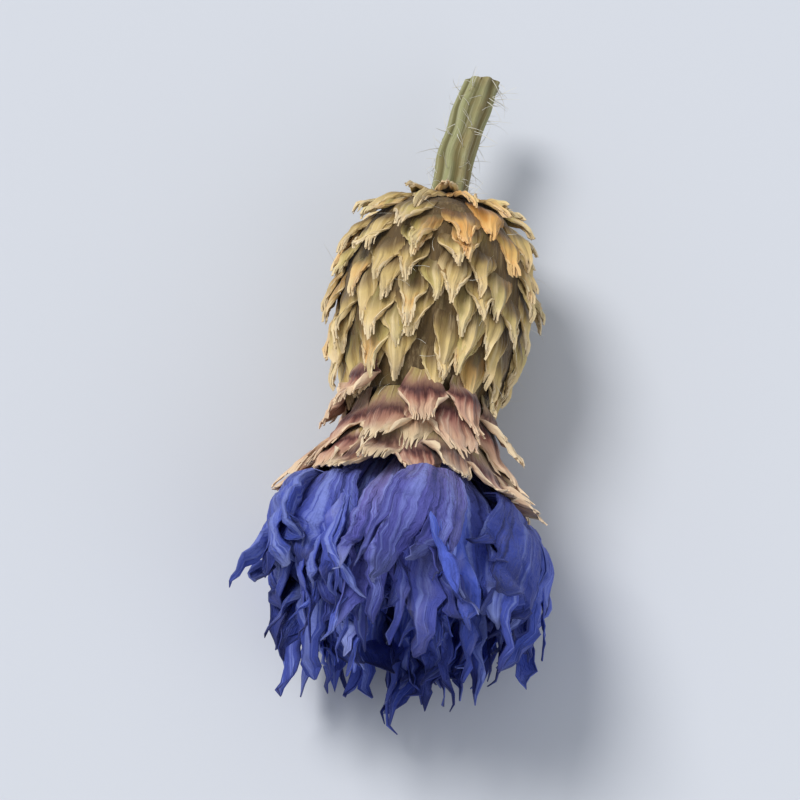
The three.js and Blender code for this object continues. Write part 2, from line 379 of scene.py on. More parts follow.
class Nodes:
    """The nodes of one material."""

    def __init__(self, tree):
        self.tree = tree

    def add(self, kind, settings=None, inputs=(), output=0):
        """A node of any kind: its settings first, then its sockets' values or links, by place or name."""
        node = self.tree.nodes.new(kind)
        for name, setting in (settings or {}).items():
            if name == "stops":
                self.set_stops(node.color_ramp, setting)
            else:
                setattr(node, name, setting)
        pairs = inputs.items() if isinstance(inputs, dict) else enumerate(inputs)
        for key, value in pairs:
            socket = node.inputs[key]
            if isinstance(value, Value):
                self.tree.links.new(value.socket, socket)
            else:
                socket.default_value = value
        return Value(self.tree, node.outputs[output])

    @staticmethod
    def set_stops(color_ramp, stops):
        while len(color_ramp.elements) < len(stops):
            color_ramp.elements.new(0.5)
        for element, (position, color) in zip(color_ramp.elements, stops):
            element.position = position
            element.color = (*color, 1)

    def masks(self, *names):
        """The masks that a pile keeps for its sheets."""
        return [self.add("ShaderNodeAttribute", {"attribute_name": name}, output="Fac") for name in names]

    def noise(self, stretch, detail=3, roughness=0.5, distortion=0.0):
        """Noise on the unbent sheets. stretch is in waves per millimetre across, along and through them."""
        own = self.add("ShaderNodeAttribute", {"attribute_name": "own"}, output="Vector")
        place = self.add("ShaderNodeMapping", {}, {"Vector": own, "Scale": stretch})
        return self.add("ShaderNodeTexNoise", {}, {
            "Vector": place, "Scale": 1.0, "Detail": detail, "Roughness": roughness,
            "Distortion": distortion})

    def ramp(self, value, stops):
        return self.add("ShaderNodeValToRGB", {"stops": stops}, [value])

    def blend(self, share, first, second, way="MIX"):
        inputs = {"Factor": share, MIX_FIRST: self.color(first), MIX_SECOND: self.color(second)}
        settings = {"data_type": "RGBA", "blend_type": way}
        return self.add("ShaderNodeMix", settings, inputs, output=MIX_RESULT)

    def multiply(self, first, second):
        return self.blend(1.0, first, second, "MULTIPLY")

    def tone(self, share, color, least, most):
        """The colour times least where share is 0, up to the colour times most where it is 1."""
        return self.blend(share, self.multiply(color, least), self.multiply(color, most))

    @staticmethod
    def color(value):
        return value if isinstance(value, Value) else (*value, 1)


def make_material(name, surface, roughness, relief, sheen=0.0):
    """A material from a function that gives its colour and its height, which is in shares of relief."""
    material = bpy.data.materials.new(name)
    material.use_nodes = True
    tree = material.node_tree
    nodes = Nodes(tree)
    shader = tree.nodes["Principled BSDF"]
    color, height = surface(nodes)
    tree.links.new(color.socket, shader.inputs["Base Color"])
    bump = nodes.add("ShaderNodeBump", {}, {"Strength": 1.0, "Distance": relief * MM, "Height": height})
    tree.links.new(bump.socket, shader.inputs["Normal"])
    shader.inputs["Roughness"].default_value = roughness
    shader.inputs["Sheen Weight"].default_value = sheen
    shader.inputs["Specular IOR Level"].default_value = SPECULAR
    return material


def ray_surface(nodes):
    """Dried blue petals: greyed violet tubes, royal blue mouths, pale streaks and a painted highlight on the
    ridges, navy veins and painted shade in the folds, and navy tips.
    """
    along, ridge, shade, violet, lobe_tone, pale = nodes.masks(
        "along", "ridge", "shade", "violet", "lobe_tone", "pale")
    mottle = nodes.noise((0.9, 0.45, 0.9), 4, 0.6)
    streaks = nodes.noise((2.4, 0.16, 2.4), 3, 0.6)
    veins = nodes.noise((7.5, 0.3, 7.5), 3, 0.6)
    wrinkles = nodes.noise((3.4, 2.3, 3.4), 5, 0.65, 0.6)
    blue = nodes.ramp(along, [
        (0.0, (0.34, 0.28, 0.40)), (0.3, (0.20, 0.18, 0.46)), (0.5, (0.120, 0.155, 0.58)),
        (0.8, (0.080, 0.128, 0.60)), (1.0, (0.052, 0.086, 0.43))])
    lavender = nodes.ramp(along, [
        (0.0, (0.34, 0.29, 0.36)), (0.45, (0.19, 0.155, 0.36)), (0.75, (0.10, 0.10, 0.40)),
        (1.0, (0.045, 0.055, 0.28))])
    petal = nodes.blend(violet, blue, lavender)
    # Painted highlight: the lobes' ridges are lightened, on top of the pale streaks, veins and palest lobes.
    streaks_and_highlight = ((ridge - 0.75) * 1.4 + (streaks - 0.5) * 5 + (veins - 0.5) * 5
            + (lobe_tone + pale * 1.6) * 0.35).clamped()
    light = nodes.blend(streaks_and_highlight * (0.98 - violet * 0.35 - along * 0.30), petal, (0.32, 0.39, 0.88))
    # Painted shade: the valleys between the ridges are darkened navy, on top of the dark streaks and veins.
    folds = ((0.40 - ridge) * 1.6 + (0.46 - streaks) * 5 + (0.48 - veins) * 5
             - (lobe_tone + pale) * 0.35).clamped()
    fold_shaded = nodes.blend(folds * 0.8, light, (0.016, 0.023, 0.14))
    faded = nodes.blend(mottle.over(0.58, 6) * 0.55, fold_shaded, (0.27, 0.27, 0.52))
    burnt = nodes.blend(mottle.under(0.40, 7) * 0.7, faded, (0.022, 0.014, 0.06))
    ends = along.over(0.84, 6)
    navy_ends = nodes.blend(ends * (0.15 - lobe_tone).clamped() * 0.9, burnt, (0.018, 0.024, 0.15))
    pale_ends = nodes.blend(ends * (lobe_tone - 0.35).clamped(), navy_ends, (0.40, 0.45, 0.80))
    toned = nodes.tone(shade, pale_ends, (0.48, 0.50, 0.60), (1.38, 1.39, 1.34))
    return toned, veins * 1.4 + wrinkles * 2 + streaks * 0.6


def outer_bract_surface(nodes):
    """Straw-gold scales: streaked bodies with olive and rusty patches, a painted highlight along the keel,
    painted shade on the sides and towards the foot where each scale lies under its neighbours, pale margins
    and a cream fringe.
    """
    along, edge, shade, keel, rust = nodes.masks("along", "edge", "shade", "keel", "rust")
    fibres = nodes.noise((3.6, 0.28, 3.6), 4, 0.65)
    mottle = nodes.noise((0.8, 0.5, 0.8), 4, 0.6)
    # The ramp's dark start is painted shade, where each scale's foot lies under its neighbours. The core
    # between the scales takes the same dark colours.
    straw = nodes.ramp(along, [
        (0.0, (0.045, 0.028, 0.014)), (0.34, (0.19, 0.125, 0.05)), (0.56, (0.60, 0.45, 0.165)),
        (0.80, (0.72, 0.55, 0.265)), (1.0, (0.82, 0.72, 0.56))])
    olive = nodes.blend(((0.5 - mottle) * 5 + (shade - 0.5)).clamped() * 0.7, straw, (0.47, 0.43, 0.12))
    stain = ((mottle - 0.54) * 7 + (shade - 0.75) * 3 + rust * 2.4).clamped() * 0.8
    rusty = nodes.blend(stain, olive, (0.66, 0.34, 0.07))
    streaked = nodes.blend(fibres.under(0.48, 9) * 0.75, rusty, (0.22, 0.14, 0.035))
    shining = nodes.blend(fibres.over(0.54, 7) * 0.7, streaked, (0.84, 0.70, 0.42))
    # Painted highlight: the keel is lightened towards the scale's tip.
    keel_highlight = nodes.blend(keel * along * 0.45, shining, (0.86, 0.72, 0.44))
    sides = ((1 - keel) * (0.88 - along) * 1.5).clamped()
    shaded = nodes.blend(sides * 0.55, keel_highlight, (0.22, 0.14, 0.045))
    fringed = nodes.blend(edge * 0.5, shaded, (0.74, 0.60, 0.38))
    toned = nodes.tone(shade, fringed, (0.93, 0.88, 0.78), (1.04, 1.01, 0.98))
    stained = nodes.blend(rust * 0.85, toned, nodes.multiply(toned, (1.18, 0.80, 0.36)))
    # Painted shade: darker towards each scale's foot, where it lies under its neighbours.
    nook_shade = nodes.ramp(along, [(0.0, (0.52, 0.50, 0.48)), (0.38, (0.76, 0.73, 0.69)), (0.56, (1, 1, 1))])
    return nodes.multiply(stained, nook_shade), fibres + mottle * 0.3


def inner_bract_surface(nodes):
    """Papery tips: a peach and brown-pink blade, painted maroon shade where each tip comes out from under the
    tier above, and a pale cream fringe.
    """
    along, edge, shade = nodes.masks("along", "edge", "shade")
    fibres = nodes.noise((6.0, 0.45, 6.0), 3, 0.6)
    mottle = nodes.noise((0.9, 0.6, 0.9), 4, 0.6)
    uneven = along + (mottle - 0.5) * 0.30 + (fibres - 0.5) * 0.22
    # The maroon band is painted shade, where each tip comes out from under the tier above. The rest is the
    # tips' own straw, brown-pink, peach and cream.
    papery = nodes.ramp(uneven, [
        (0.0, (0.22, 0.15, 0.05)), (0.34, (0.40, 0.29, 0.11)), (0.46, (0.33, 0.19, 0.12)),
        (0.56, (0.11, 0.026, 0.028)), (0.65, (0.42, 0.20, 0.13)), (0.78, (0.60, 0.37, 0.235)),
        (1.0, (0.80, 0.60, 0.39))])
    lilac = nodes.blend(shade.over(0.62, 6) * along.under(0.54, 8) * 0.85, papery, (0.32, 0.21, 0.23))
    rosy = nodes.blend(((mottle - 0.48) * 5 + shade * 0.5 - 0.25).clamped() * 0.6, lilac, (0.34, 0.14, 0.12))
    streaked = nodes.blend(fibres.under(0.48, 6) * 0.7, rosy, (0.15, 0.05, 0.035))
    shining = nodes.blend(fibres.over(0.56, 7) * 0.6, streaked, (0.76, 0.58, 0.42))
    bleached = nodes.blend(shade.under(0.4, 6) * along.over(0.72, 5) * 0.55, shining, (0.80, 0.67, 0.42))
    greenish = nodes.blend(shade.under(0.2, 8) * 0.25, bleached, (0.42, 0.40, 0.22))
    fringed = nodes.blend(edge * 0.6, greenish, (0.82, 0.67, 0.46))
    # Painted shade: darker where each tip comes out from under the tier above, and a little at its foot under
    # the cup's scales.
    shoulder_shade = nodes.ramp(uneven, [
        (0.0, (0.8, 0.8, 0.7)), (0.4, (1, 1, 1)), (0.57, (0.42, 0.26, 0.28)), (0.72, (0.92, 0.87, 0.90)),
        (1.0, (1.02, 1.0, 1.0))])
    return nodes.multiply(fringed, shoulder_shade), fibres * 0.8 + mottle * 0.4


def disc_floret_surface(nodes):
    """Violet tubes with dark purple anther columns and pale, pollen-dusted tips."""
    along, shade = nodes.masks("along", "shade")
    mottle = nodes.noise((4.0, 1.2, 4.0))
    tube = nodes.ramp(along, [
        (0.0, (0.42, 0.36, 0.42)), (0.35, (0.24, 0.13, 0.42)), (0.62, (0.17, 0.10, 0.46)),
        (0.7, (0.09, 0.035, 0.16)), (0.9, (0.15, 0.06, 0.20)), (1.0, (0.62, 0.53, 0.48))])
    toned = nodes.blend((shade * 0.5 + (mottle - 0.5) * 2).clamped() * 0.6, tube, (0.24, 0.16, 0.42))
    return toned, mottle


def stem_surface(nodes):
    """Grey-green ribs, browner grooves, fine lengthwise fibres and a pale cut end."""
    along, ridge = nodes.masks("along", "ridge")
    fibres = nodes.noise((9.0, 0.35, 9.0), 4, 0.6)
    mottle = nodes.noise((0.7, 0.4, 0.7), 4, 0.6)
    green = nodes.blend(ridge, (0.13, 0.115, 0.04), (0.34, 0.34, 0.17))
    dry = nodes.blend(mottle.over(0.45, 4) * 0.7, green, (0.30, 0.20, 0.08))
    streaked = nodes.blend(fibres.over(0.5, 4) * 0.6, dry, (0.54, 0.51, 0.34))
    cut = nodes.blend(along.over(0.985, 200), streaked, (0.60, 0.51, 0.34))
    return cut, fibres


def hair_surface(nodes):
    """Pale cobweb down."""
    mottle = nodes.noise((2.0, 2.0, 2.0))
    return nodes.blend(mottle, (0.55, 0.51, 0.42), (0.80, 0.78, 0.70)), mottle


def floor_surface(nodes):
    """A plain pale board with a breath of unevenness."""
    place = nodes.add("ShaderNodeTexCoord", output="Object")
    mottle = nodes.add("ShaderNodeTexNoise", {}, {"Vector": place, "Scale": 9.0, "Detail": 3.0})
    return nodes.blend(mottle, (0.585, 0.61, 0.665), (0.62, 0.645, 0.695)), mottle


# The cup

CORE_SIDES = 48
CORE_ROWS = 16
CORE_SEAT = [(0.55, 0.75), (0.0, 0.95)]  # height and radius where the core turns in round the stem
# The core is painted dark as shade between the scales, darkest from this height up.
CORE_SHADE_Z = 8.8
FIRST_SCALE_Z = 0.3  # between this height and the next one the scales have their feet
LAST_SCALE_Z = 7.6


def revolve(profile, sides, ends="NOTHING"):
    """A turned shell from (height, radius) pairs, made by extruding and scaling a circle or a round face."""
    deselect()
    low, radius = profile[0]
    bpy.ops.mesh.primitive_circle_add(vertices=sides, radius=radius, fill_type=ends, location=(0, 0, low))
    piece = bpy.context.object
    bpy.ops.object.transform_apply(location=True, rotation=True, scale=True)
    bpy.ops.object.mode_set(mode="EDIT")
    bpy.ops.mesh.select_all(action="SELECT")
    for height, next_radius in profile[1:]:
        bpy.ops.mesh.extrude_region_move(TRANSFORM_OT_translate={"value": (0, 0, height - low)})
        share = next_radius / radius
        bpy.ops.transform.resize(value=(share, share, 1), center_override=(0, 0, height))
        low, radius = height, next_radius
    bpy.ops.object.mode_set(mode="OBJECT")
    return piece


def shell_arrays(piece):
    """Faces and places of a shell, the faces in one order, because extrude leaves them in any order."""
    mesh = piece.data
    places = np.array([tuple(v.co) for v in mesh.vertices])
    faces = []
    for polygon in mesh.polygons:
        corners = list(polygon.vertices)
        first = corners.index(min(corners))
        faces.append(corners[first:] + corners[:first])
    bpy.data.objects.remove(piece)
    return sorted(faces), places


class CupSurface:
    """The cup with its corners rounded, followed by arc length from the stem up."""

    STEP = 0.05
    ROUNDING = 0.8

    def __init__(self, corners):
        self.z = np.arange(corners[0, 0], corners[-1, 0], self.STEP)
        sharp = np.interp(self.z, corners[:, 0], corners[:, 1])
        half = int(self.ROUNDING / self.STEP / 2)
        window = np.ones(2 * half + 1) / (2 * half + 1)
        self.radius = np.convolve(np.pad(sharp, half, mode="edge"), window, mode="valid")
        steps = np.hypot(np.diff(self.z), np.diff(self.radius))
        self.arc = np.concatenate([[0], np.cumsum(steps)])
        self.slope = np.gradient(self.radius, self.arc)
        self.rise = np.gradient(self.z, self.arc)

    def arc_at(self, z):
        return np.interp(z, self.z, self.arc)

    def radius_along(self, arc):
        return np.interp(arc, self.arc, self.radius)

    def radius_at(self, z):
        return self.radius_along(self.arc_at(z))

    def place(self, arc, turn, above):
        """A place above the cup's surface, measured square to it."""
        radius = self.radius_along(arc) + above * np.interp(arc, self.arc, self.rise)
        height = np.interp(arc, self.arc, self.z) - above * np.interp(arc, self.arc, self.slope)
        return around_axis(radius, turn, height)


CUP_SURFACE = CupSurface(CUP)


def add_core(pile):
    """The cup itself, which shows between the scales. Its colour is painted shade there, darkening towards
    the papery tips.
    """
    heights = np.linspace(0.0, CUP_TOP, CORE_ROWS)
    profile = CORE_SEAT + list(zip(heights, CUP_SURFACE.radius_at(heights))) + [(CUP_TOP + 0.02, 0.4)]
    faces, places = shell_arrays(revolve(profile, CORE_SIDES))
    places = crumple(places, 0.8, 0.12, 1)
    pile.add(faces, places, (places[:, 0], places[:, 2], places[:, 1]),
             along=np.interp(places[:, 2], [LAST_SCALE_Z, CORE_SHADE_Z], [0.12, 0]),
             edge=0, keel=0, shade=0.3, rust=0)


# Outer bracts

SCALES = 112  # finer than the solids' 56, by the same spiral
SCALE_TEETH = 9
SCALE_LENGTHS = 2.1, 2.4  # of the scales by the stem and of those by the papery tips
SCALE_WIDTHS = 1.75, 1.5
SCALE_BELLY = [0, 0.3, 0.55, 0.75, 0.9, 1.0], [0.85, 1.0, 0.96, 0.74, 0.42, 0.18]  # width along the scale
SCALE_SEAT = -0.05, 0.24  # how high the scale's foot and its upper half lie over the cup
SCALE_LIFT = 0.32  # how far a middling tip stands up
KEEL_HEIGHT = 0.20
RIB_HEIGHT = 0.035
BASAL_RINGS = [  # small scales round the stem: count, height, length, width
    (9, -0.22, 1.0, 1.2), (12, -0.02, 1.6, 1.5)]
BASAL_NUMBERS = 200, 50  # the first basal scale's number for draws, and the step from ring to ring
RUST_TURN = math.radians(56)  # the middle of the cup's orange stain
RUST_Z = 1.0
RUST_SPAN = 0.5, 1.1  # its reach round the cup, in radians, and along it


def outer_bract(sheet, number, angle, low, length, width, pile):
    """One fleshy, ribbed scale that lies close, with a raised pointed tip and small teeth beside it."""
    along, across, past = sheet.along, sheet.across, sheet.past
    outline = 1 - 0.36 * np.abs(across) ** 1.5
    reach = along * outline + 0.05 * past * (1 + 0.8 * sheet.lobe_draws(number, 6))
    arc = mix(CUP_SURFACE.arc_at(low), CUP_SURFACE.arc_at(low + length), reach)

    seat = mix(*SCALE_SEAT, ramp(along, 0, 0.55))
    lift = SCALE_LIFT * (1 + draw(number, 4)) * ramp(along, 0.55, 1.05)
    keel = KEEL_HEIGHT * np.exp(-(across / 0.3) ** 2) * ramp(along, 0.1, 0.6) * (1 - 0.5 * past)
    cupped = -0.18 * np.abs(across) ** 2.2 * ramp(along, 0.1, 0.6)
    ribs = RIB_HEIGHT * np.cos(across * 5.5 * math.pi) * ramp(along, 0.05, 0.4)
    ragged = past * 0.10 * sheet.lobe_draws(number, 7)
    above = seat + lift + keel + cupped + ribs + ragged

    belly = np.interp(along, *SCALE_BELLY)
    splay = 0.10 * past * sheet.middle
    skew = 0.30 * draw(number, 5) * along
    under = np.maximum(CUP_SURFACE.radius_along(arc), 1.2)
    turn = angle + (sheet.toothed() * belly * width / 2 + splay + skew) / under
    places = crumple(CUP_SURFACE.place(arc, turn, above), 1.1, 0.13 * (0.3 + along), 3)
    places = crumple(places, 3.0, 0.05 * along, 4)

    from_rust = math.remainder(angle - RUST_TURN, 2 * math.pi) / RUST_SPAN[0], (low - RUST_Z) / RUST_SPAN[1]
    pile.add(sheet.faces, places, (across * width / 2, along * length, number * PATTERN_STEP), along=along,
             edge=np.clip(np.abs(across) ** 4 * ramp(along, 0.35, 0.7) + past, 0, 1),
             keel=np.exp(-(across / 0.28) ** 2), shade=draw_between(0, 1, number, 8),
             rust=math.exp(-from_rust[0] ** 2 - from_rust[1] ** 2))


def make_outer_bracts(material):
    pile = Pile()
    add_core(pile)
    sheet = Sheet(lobes=SCALE_TEETH, columns=2, rows=15, notch=0.85)
    for index in range(SCALES):
        share = index / (SCALES - 1)
        angle = index * GOLDEN_ANGLE + 0.20 * draw(index, 1)
        length = mix(*SCALE_LENGTHS, share) * (1 + 0.16 * draw(index, 2))
        width = mix(*SCALE_WIDTHS, share) * (1 + 0.20 * draw(index, 3))
        low = mix(FIRST_SCALE_Z, LAST_SCALE_Z, share ** 0.95)
        outer_bract(sheet, index, angle, low, length, width, pile)
    first, step = BASAL_NUMBERS
    for ring, (count, low, length, width) in enumerate(BASAL_RINGS):
        for index in range(count):
            number = first + step * ring + index
            angle = (index + 0.5 * ring + 0.25 * draw(number, 9)) * 2 * math.pi / count
            outer_bract(sheet, number, angle, low, length * (1 + 0.15 * draw(number, 10)), width, pile)
    piece = pile.piece("outer_bracts_fine", thickness=0.08)
    finish_piece(piece, "outer_bracts", material, "outer_bracts")


# Inner bracts

INNER_BRACTS = 18
INNER_BRACT_WIDTH = 2.2
TIP_TEETH = 11
TIP_LENGTHS = 5.2, 4.3  # of the inner and of the outer whorl, a little past the solids' blades
TIP_WIDTH = 1.12 * INNER_BRACT_WIDTH
TIP_TIERS = [  # shorter tips that start on the neck: count, height, length, width
    (11, 7.9, 5.6, 2.9), (9, 7.3, 3.7, 2.1)]
TIP_FUNNEL = np.array([[9.0, 2.7], [10.3, 2.8], [11.3, 3.15], [12.3, 3.7], [13.3, 4.35], [15.5, 5.9]])
TIP_BELLY = [0, 0.3, 0.48, 0.66, 0.82, 0.93, 1.0], [0.45, 0.52, 0.74, 0.98, 1.0, 0.84, 0.66]
TIP_POINTS = [0, 0.34, 0.6, 1.1], [1.0, 0.90, 0.91, 0.60]  # length across the tip, with three blunt points
TIP_CEILING = 13.8  # tips keep less than half of what would reach past this height


def tip_numbers():
    """Number, angle, base height, length, width and stand-off of each papery tip.

    The first ones are the solids' blades, and the tiers lie over them.
    """
    for index in range(INNER_BRACTS):
        whorl = index % 2
        angle = index * 2 * math.pi / INNER_BRACTS + 0.18 * draw(index, 11)
        length = TIP_LENGTHS[whorl] * (1 + 0.09 * draw(index, 12))
        yield index, angle, INNER_BASE + 0.3, length, TIP_WIDTH, 0.22 * whorl
    for tier, (count, low, length, width) in enumerate(TIP_TIERS):
        for index in range(count):
            number = 100 * (tier + 1) + index
            angle = (index + 0.6 - 0.25 * tier + 0.18 * draw(number, 11)) * 2 * math.pi / count
            base = low + 0.35 * draw(number, 18)
            yield number, angle, base, length * (1 + 0.18 * draw(number, 12)), width, 0.4 + 0.25 * tier


def inner_bract(sheet, number, angle, low, length, width, stand_off, pile):
    """A papery, spoon-shaped tip with a blunt, three-pointed, finely torn end."""
    along, across, past = sheet.along, sheet.across, sheet.past
    width = width * (1 + 0.14 * draw(number, 13))
    points = np.interp(np.abs(across + 0.12 * draw(number, 23)), *TIP_POINTS)
    reach = along * mix(1.0, points, ramp(along, 0.4, 1.0))
    reach = reach + 0.04 * past * (1 + 1.3 * sheet.lobe_draws(number, 15))
    height = low + reach * length
    height = height - 0.6 * np.maximum(height - TIP_CEILING, 0)

    funnel = np.interp(height, TIP_FUNNEL[:, 0], TIP_FUNNEL[:, 1])
    under = np.where(height < CUP_TOP, CUP_SURFACE.radius_at(height), funnel)
    tucked = -0.9 * (1 - ramp(along, 0, 0.25))
    layer = mix(-0.1, stand_off, ramp(along, 0.2, 0.6))
    flare = (0.1 + 0.35 * draw(number, 14)) * reach ** 2
    curl = max(0.3 + 0.6 * draw(number, 16), -0.05) * ramp(along, 0.6, 1.0) ** 1.5
    cupped = -0.34 * np.abs(across) ** 1.8 * ramp(along, 0.35, 0.7)
    tipped = 0.3 * draw(number, 17) * across * ramp(along, 0.5, 1.0)
    ribs = 0.07 * np.cos(across * 4.3 * math.pi) * ramp(along, 0.45, 0.8)
    radius = under + tucked + layer + flare + curl + cupped + tipped + ribs

    belly = np.interp(along, *TIP_BELLY)
    sway = 0.45 * draw(number, 19) * along ** 2
    turn = angle + (sheet.toothed() * belly * width / 2 + sway) / np.maximum(radius, 1.9)
    places = crumple(around_axis(radius, turn, height), 0.8, 0.28 * along, 5)
    places = crumple(places, 2.4, 0.10 * along, 8)
    late = 0.07 if low > CUP_TOP else 0  # the painted maroon shade falls a little further along the solids' blades, where they come out from under the tiers
    pile.add(sheet.faces, places, (across * width / 2, along * length, number * PATTERN_STEP),
             along=along - late, shade=draw_between(0, 1, number, 20),
             edge=np.clip(np.abs(across) ** 5 * ramp(along, 0.5, 0.8) + past, 0, 1))


def make_inner_bracts(material):
    pile = Pile()
    sheet = Sheet(lobes=TIP_TEETH, columns=2, rows=24, notch=0.9)
    for values in tip_numbers():
        inner_bract(sheet, *values, pile)
    piece = pile.piece("inner_bracts_fine", thickness=0.06)
    finish_piece(piece, "inner_bracts", material, "inner_bracts")


# Ray florets

RAY_FLORETS = 36
RAY_LENGTH = 11
RAY_LOBE_COUNTS = (6, 5, 7, 5)
SPREAD = 0.93  # of the reach of the solids' blades, which go out to the furthest tips
MORE_SPREAD = 0.17, 0.13  # how much further the top and the right florets go, to the sides of the solids' box
TUBE_RADIUS = 0.30
MOUTHS = 1.15, 1.7  # about half the width of the innermost and of the outermost florets' mouths
PALE_TURN = math.radians(146)  # the side where the florets are palest


def keep_off_floor(point):
    """A path's point on the upright head, raised and spread where the lying head would sink too low."""
    x, y, z = point
    lowest = 0.2 - (BASE_HEIGHT + z * math.sin(AXIS_TILT))
    excess = max(0, lowest - y)
    return np.array([x * (1 + 0.12 * excess), y + excess, z])


def ray_path(index):
    """Middle line of a ray floret's outer wall, as the solids have it: four control points."""
    share = index / (RAY_FLORETS - 1)
    spread = share ** 0.62
    angle = index * GOLDEN_ANGLE + 0.1 * draw(index, 21)
    bend = angle + 0.16 * draw(index, 22) + 0.20 * draw(index, 51)
    sway = bend + 0.12 * draw(index, 23) + 0.34 * draw(index, 52)
    up, right = max(0, math.sin(angle)), max(0, math.cos(angle))
    further = MORE_SPREAD[0] * up ** 2 + MORE_SPREAD[1] * right ** 2
    reach = SPREAD * (1 + 0.06 * draw(index, 24)) * (1 + further)
    corners = [  # turn, radius and height, from those of the innermost floret to those of the outermost
        (angle, DISC_RADIUS + CLEAR, RAY_BASE + 0.35),
        (angle, mix(1.4, 3.3, spread), mix(12.6, 12.2, spread)),
        (bend, mix(2.2, 8.4, spread) * reach, mix(16.5, 14.4, spread)),
        (sway, mix(2.0, 5.0, spread) * reach, mix(22.4, 19.1, spread ** 2) + 0.7 * draw(index, 25)),
    ]
    path = [keep_off_floor((r * math.cos(turn), r * math.sin(turn), z)) for turn, r, z in corners]
    opening = mix(*MOUTHS, spread) * (1 + 0.1 * draw(index, 27))
    return path, angle, opening


def bezier(path, t):
    """Places and directions along a cubic curve. Past its end it runs straight on."""
    a, b, c, d = path
    share = np.minimum(t, 1)[:, None]
    rest = 1 - share
    places = rest ** 3 * a + 3 * rest ** 2 * share * b + 3 * rest * share ** 2 * c + share ** 3 * d
    ways = rest ** 2 * (b - a) + 2 * rest * share * (c - b) + share ** 2 * (d - c)
    ways /= np.linalg.norm(ways, axis=1, keepdims=True)
    return places + ways * (np.maximum(t, 1) - 1)[:, None] * RAY_LENGTH, ways


def middle_line(path, reach):
    """Places on the path, with the ways outward from the head's axis and sideways there."""
    places, ways = bezier(path, reach)
    outward = places * [1, 1, 0]
    outward -= ways * np.sum(outward * ways, axis=1, keepdims=True)
    outward /= np.linalg.norm(outward, axis=1, keepdims=True)
    return places, outward, np.cross(ways, outward)


def turned(out, over, angle):
    """Offsets out and over, turned by an angle."""
    return out * np.cos(angle) - over * np.sin(angle), out * np.sin(angle) + over * np.cos(angle)


def trumpet_section(sheet, index, opening, free):
    """How far out and over from the path each corner lies: a tube, a flat pleated mouth and parting lobes.

    free runs from 0, where a lobe leaves its neighbours, to 1 at its tip.
    """
    along = sheet.along
    wide = mix(TUBE_RADIUS, opening * (1.15 + 0.2 * draw(index, 38)), ramp(along, 0.30, 0.80) ** 1.1)
    flat = mix(1.0, 0.26 + 0.14 * draw(index, 32), ramp(along, 0.3, 0.6))
    pleat = opening * (0.22 + 0.12 * draw(index, 39)) * ramp(along, 0.38, 0.75)
    taper = 1 - 0.95 * free ** 1.8

    def wall(turn, radius):
        """A corner of a flattened ring, whose outer side touches the path."""
        return (radius * np.cos(turn) - wide) * flat, radius * np.sin(turn)

    turn = (sheet.in_lobe * taper / sheet.lobes + sheet.middle) * math.pi
    out, over = wall(turn, wide - pleat * (1 - sheet.ridge) * taper)
    mid_out, mid_over = wall(sheet.middle * math.pi, wide)
    twist = 1.5 * free * sheet.lobe_draws(index, 40)
    lobe_out, lobe_over = turned(out - mid_out, over - mid_over, twist)
    parting = free ** 1.5 * (0.85 * sheet.lobe_draws(index, 33) + 0.35 * draw(index, 29))
    out = mid_out + lobe_out + parting
    over = mid_over + lobe_over + free ** 1.4 * 1.05 * sheet.lobe_draws(index, 34)
    roll = 0.546 * draw(index, 28) * along + 0.8 * draw(index, 35) * ramp(along, 0.3, 1)
    return turned(out, over, roll)


def crush(places, outward, side, along, index):
    """A dried floret's folds, from sharp creases to soft dents, and crimped lobe ends."""
    places = creases(places, outward, 0.85, 0.26 * ramp(along, 0.35, 0.8), index)
    places = creases(places, side, 1.9, 0.12 * ramp(along, 0.35, 0.8), index + 50)
    places = crumple(places, 0.22, 0.80 * ramp(along, 0.35, 1.0), 11 + index)
    places = crumple(places, 0.9, 0.24 * ramp(along, 0.4, 1.0), 50)
    return crumple(places, 1.3, 0.26 * ramp(along, 0.68, 0.95), 51)


def hold_in_mouth(places):
    """Florets stay inside the ring of inner bracts and outside the disc florets."""
    z = places[:, 2]
    radius = np.hypot(places[:, 0], places[:, 1])
    ring = MOUTH_RADIUS + MOUTH_FLARE * (z - RAY_BASE) + MOUTH_MARGIN
    most = np.where(z < MOUTH_TOP, ring, math.inf)
    least = np.where(z < DISC_TOP, DISC_RADIUS + DISC_FLARE * (z - RAY_BASE), 0)
    wanted = np.clip(radius, least, np.maximum(most, least)) / radius
    return np.column_stack([places[:, :2] * wanted[:, None], z])


def ray_floret(sheet, index, pile):
    """A dried trumpet: a slim tube, then a flattened, pleated mouth with long lobes that part and twist."""
    path, angle, opening = ray_path(index)
    along, past = sheet.along, sheet.past
    late = 0.2 * (sheet.lobe_draws(index, 37) + 1)
    free = np.clip((past - late) / (1 - late), 0, 1)
    reach = along * 0.96 + past * (0.01 + 0.08 * sheet.lobe_draws(index, 31))
    places, outward, side = middle_line(path, reach)
    out, over = trumpet_section(sheet, index, opening, free)
    places = places + outward * out[:, None] - side * over[:, None]
    places = hold_in_mouth(crush(places, outward, side, along, index))
    topmost = math.sin(angle) * ramp(0.6 - abs(math.cos(angle)), 0, 0.5)
    from_pale = math.remainder(angle - PALE_TURN, 2 * math.pi) / 0.4
    pile.add(sheet.faces, places, sheet.tube_pattern(opening * 0.6, along * RAY_LENGTH, index), along=along,
             ridge=sheet.ridge * (1 - 0.35 * free), lobe_tone=free * sheet.lobe_draws(index, 47),
             shade=draw_between(0, 1, index, 36), pale=math.exp(-from_pale ** 2),
             violet=np.clip(0.9 * topmost + 0.4 * draw(index, 46), 0, 1))


